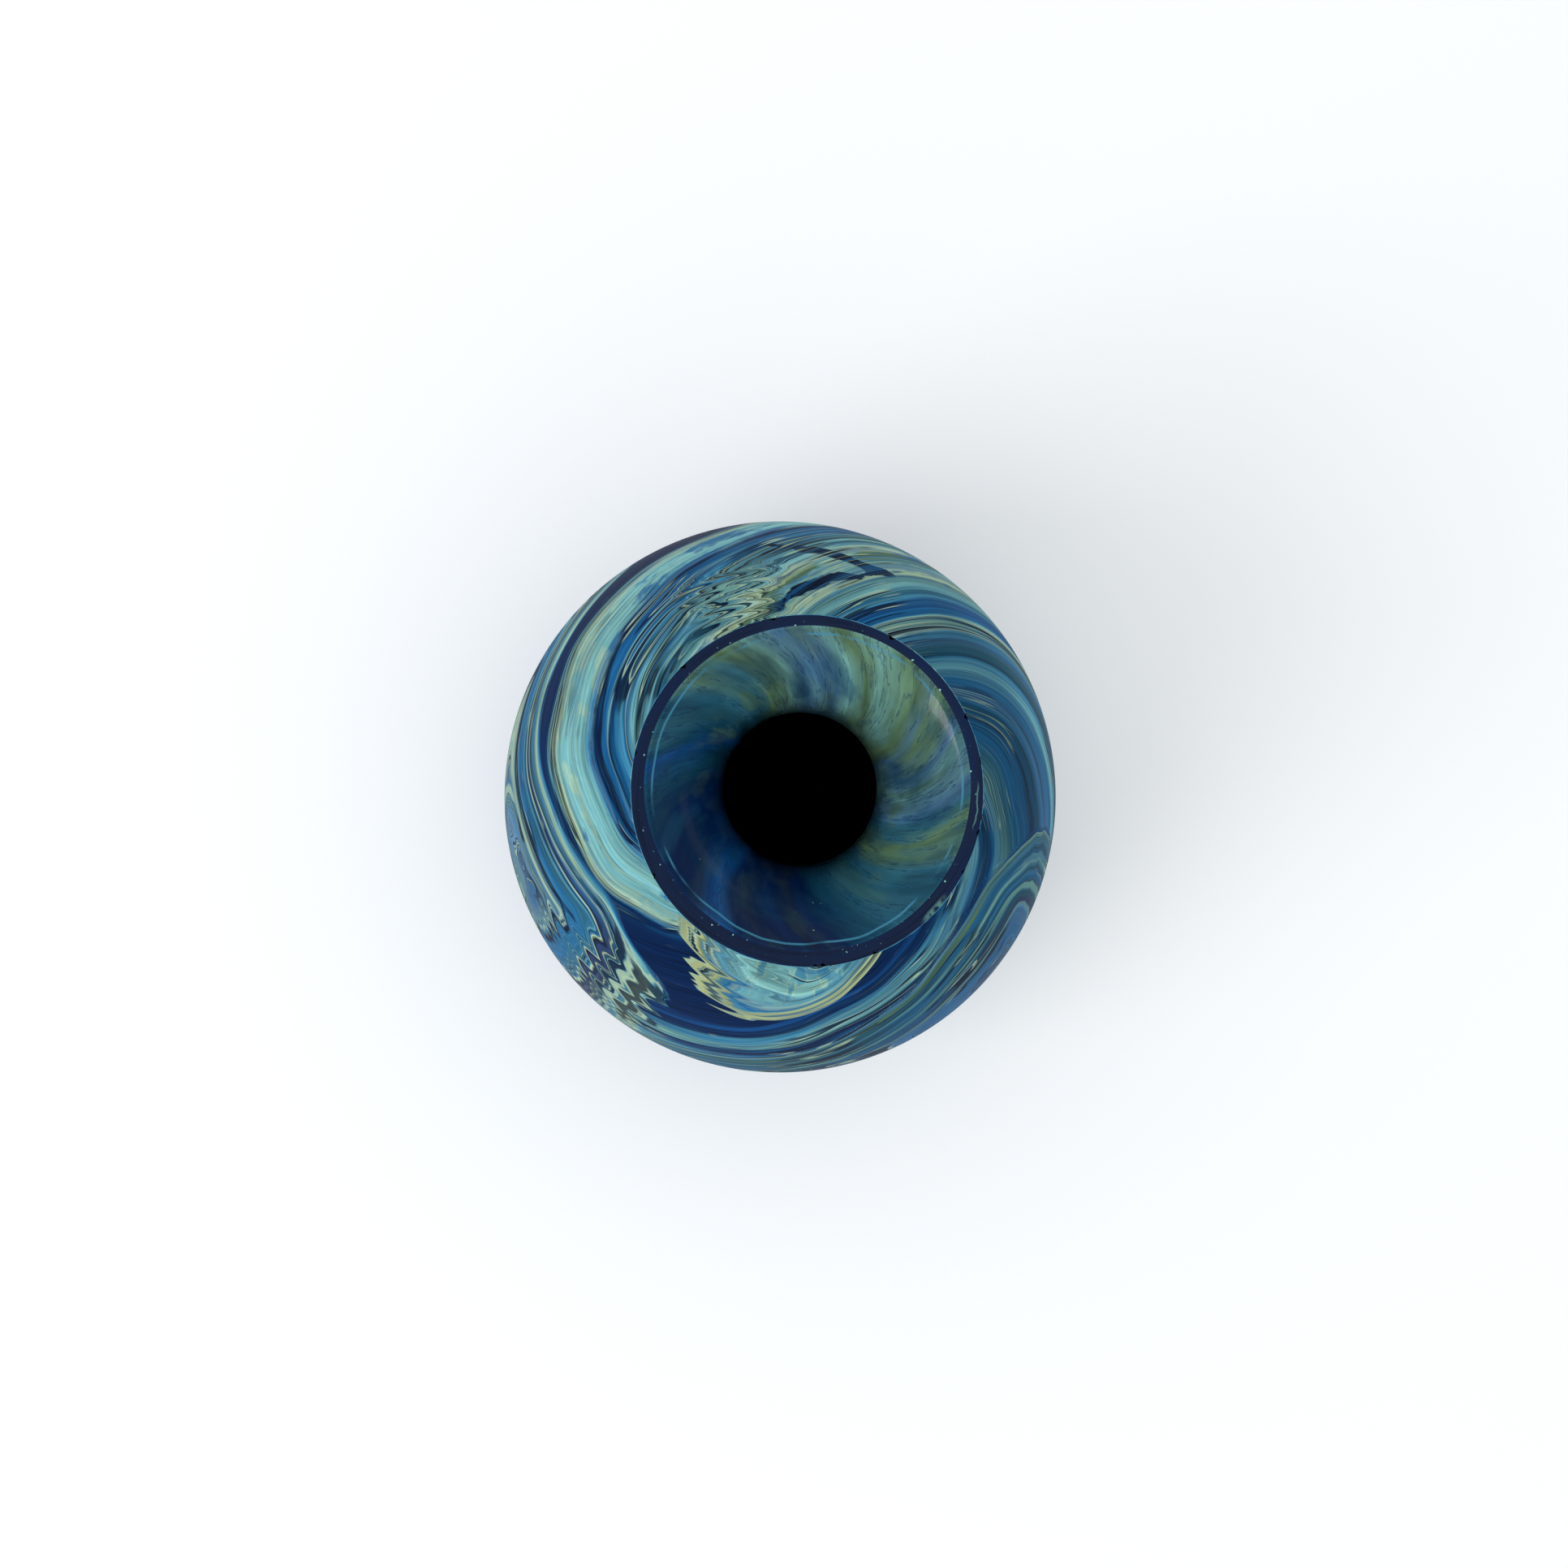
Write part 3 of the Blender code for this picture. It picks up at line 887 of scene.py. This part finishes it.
def recess_rows():
    """The domed underside, from the axis out to its edge, read from the CAD core."""
    radius, height, _ = corners("core_wall")
    base = OUTLINE.base_height
    under = (height < base + 6 * MM) & (radius < OUTLINE.base_radius * 0.7)
    top = height[under & (radius < 1 * MM)].min()
    flat = np.abs(height - base) < 0.01 * MM
    edge = radius[flat].min()
    sphere = (edge**2 + (top - base) ** 2) / (2 * (top - base))
    spread = np.linspace(0.04, 1, DOME_ROWS) * edge
    return spread, top - sphere + np.sqrt(sphere**2 - spread**2), 0 * spread


def build_core():
    outer = skin("casing", CORE_ROWS)
    inner = skin("core", CORE_ROWS, LINING_FLOOR)
    foot_edge = one_row(outer[0][0], OUTLINE.base_height, outer[2][0])
    floor = disc(inner[0][0], LINING_FLOOR)
    outline = rows(recess_rows(), foot_edge, outer, reversed_rows(inner), reversed_rows(floor))
    piece = turned("core_body", outline, False, core_glass())
    stands_for(piece, "core_wall")


def build_lining():
    top = LINING_FLOOR + LINING_WALL
    lip = OUTLINE.lip_height
    worn = worn_edge(12)
    outer = skin("core", CORE_ROWS, LINING_FLOOR)
    inner = skin("lining", LINING_ROWS, top, lip - worn)
    shoulder = one_row(inner[0][-1] + worn * 0.5, lip, inner[2][-1])
    below = disc(outer[0][0], LINING_FLOOR)
    above = disc(inner[0][0], top)
    outline = rows(below, outer, shoulder, reversed_rows(inner), reversed_rows(above))
    piece = turned("lining_skin", outline, False, marbled_lining())
    stands_for(piece, "inner_lining")


def rounded(corner, before, after, radius, count=5):
    """Points round a corner of an outline, from the side of before to the side of after."""
    corner, before, after = (np.array(p, float) for p in (corner, before, after))
    start = corner + (before - corner) / np.linalg.norm(before - corner) * radius
    end = corner + (after - corner) / np.linalg.norm(after - corner) * radius
    share = np.linspace(0, 1, count)[:, None]
    return (1 - share) ** 2 * start + 2 * share * (1 - share) * corner + share**2 * end


def build_foot():
    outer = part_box("foot_ring")[1].x
    inner = corners("foot_ring")[0].min()
    top = OUTLINE.base_height + 0.05 * MM  # fused to the body
    square = [(inner, 0), (outer, 0), (outer, top), (inner, top)]
    edges = [1.0 * MM, 1.0 * MM, 0.5 * MM, 0.5 * MM]
    points = np.concatenate(
        [rounded(square[i], square[i - 1], square[(i + 1) % 4], edges[i]) for i in range(4)]
    )
    outline = rows((points[:, 0], points[:, 1], 0 * points[:, 0]))
    piece = turned("foot_ring_glass", outline, True, foot_glass())
    stands_for(piece, "foot_ring")


def build_seal():
    low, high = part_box("pontil_seal")
    wave = 1 + 0.03 * np.cos(3 * ANGLES + 0.4) + 0.02 * np.cos(7 * ANGLES)
    shares = np.array([0.05, 0.4, 0.75, 0.93, 0.975, 0.975, 0.9, 0.5, 0.05])
    levels = np.array([0.0, 0.0, 0.0, 0.04, 0.3, 1.0, 1.0, 1.0, 1.0])
    radius = shares[:, None] * high.x / wave.max() * wave[None, :]
    height = (low.z + (high.z - low.z) * levels)[:, None] + 0 * radius
    outline = rows((radius, height, 0 * radius))
    piece = turned("pontil_seal_glass", outline, False, ground_glass())
    stands_for(piece, "pontil_seal")


# Stage.

TABLE_SIZE = 40
SKY_LIGHT = 0.95
SKY_REFLECTED = 0.10
WINDOW_LIGHT = 9
WINDOW_SIZE = 0.9
WINDOW_PLACE = (-1.1, -0.5, 1.2)
WINDOW_TURN = (math.radians(24), math.radians(-42), 0)
CAMERA_PLACE = (-42.5 * MM, -9.4 * MM, 834 * MM)
CAMERA_TURN = (0.0161, -0.0562, 0)
CAMERA_LENS = 75
CAMERA_SENSOR = 36


def white_table():
    paint = Paint("white_table")
    mottle = paint.noise(paint.x * 40, paint.y * 40)
    return paint.finish(srgb(245, 247, 249), 0.7 + (mottle - 0.5) * 0.1, specular=0.1)


def build_table():
    bpy.ops.mesh.primitive_plane_add(size=TABLE_SIZE)
    table = bpy.context.object
    table.name = "table"
    table.data.materials.append(white_table())


def build_sky():
    """A pale room. Reflections see a dimmer one, as under a camera in a room lit from its sides."""
    world = bpy.data.worlds.new("studio")
    world.use_nodes = True
    nodes, links = world.node_tree.nodes, world.node_tree.links
    sky = nodes["Background"]
    sky.inputs["Color"].default_value = (0.98, 0.99, 1.0, 1)
    ray = nodes.new("ShaderNodeLightPath")
    level = nodes.new("ShaderNodeMapRange")
    level.inputs["To Min"].default_value = SKY_LIGHT
    level.inputs["To Max"].default_value = SKY_REFLECTED
    links.new(ray.outputs["Is Glossy Ray"], level.inputs["Value"])
    links.new(level.outputs["Result"], sky.inputs["Strength"])
    bpy.context.scene.world = world


def build_window():
    """Soft light from the left."""
    light = bpy.data.lights.new("window", "AREA")
    light.size = WINDOW_SIZE
    light.energy = WINDOW_LIGHT
    lamp = bpy.data.objects.new("window", light)
    lamp.location = WINDOW_PLACE
    lamp.rotation_euler = WINDOW_TURN
    bpy.context.scene.collection.objects.link(lamp)


def build_camera():
    """Almost straight above the mouth."""
    camera = bpy.data.objects.new("camera", bpy.data.cameras.new("camera"))
    camera.data.lens = CAMERA_LENS
    camera.data.sensor_width = CAMERA_SENSOR
    camera.data.clip_start = 0.01
    camera.location = CAMERA_PLACE
    camera.rotation_euler = CAMERA_TURN
    bpy.context.scene.collection.objects.link(camera)
    bpy.context.scene.camera = camera
    bpy.context.scene.view_settings.view_transform = "Standard"


build_casing()
build_core()
build_lining()
build_foot()
build_seal()
build_table()
build_sky()
build_window()
build_camera()

bpy.context.view_layer.update()
